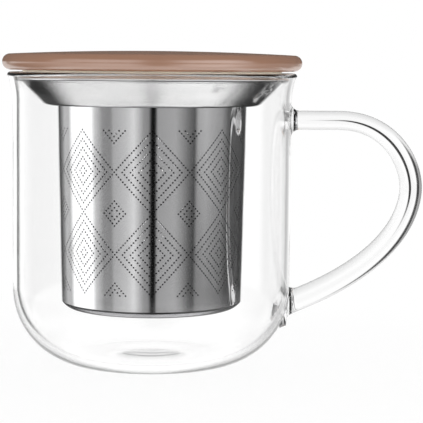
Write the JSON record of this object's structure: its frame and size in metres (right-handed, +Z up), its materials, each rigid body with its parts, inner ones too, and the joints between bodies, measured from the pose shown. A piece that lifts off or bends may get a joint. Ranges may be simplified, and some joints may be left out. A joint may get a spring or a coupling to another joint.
{
  "type": "tea mug with infuser and lid",
  "caption": "Clear glass tea mug with a looped glass rod handle, a drop-in perforated steel infuser and a loose glazed ceramic lid that covers the rim.",
  "frame": {"origin": "centre of the mug's flat base, on the surface it stands on", "axes": "+Z up along the mug's axis, +X towards the handle"},
  "size_m": [0.1303, 0.0922, 0.0971],
  "materials": {
    "clear_glass": "clear, fire-polished borosilicate",
    "brushed_steel": "spun and circumferentially brushed stainless",
    "polished_steel": "bright polished stainless",
    "clay_glaze": "glossy clay-brown glaze"
  },
  "bodies": {
    "mug": {"glass_body": "clear_glass", "glass_handle": "clear_glass"},
    "infuser": {"infuser_collar": "brushed_steel", "infuser_tube": "polished_steel", "infuser_base": "polished_steel"},
    "lid": {"ceramic_lid": "clay_glaze"}
  },
  "joints": [
    {"name": "infuser_lift", "type": "slide", "parent": "mug", "child": "infuser", "axis": [0, 0, 1], "range_m": [0, 0.085]},
    {"name": "lid_lift", "type": "slide", "parent": "infuser", "child": "lid", "axis": [0, 0, 1], "range_m": [0, 0.05]}
  ]
}
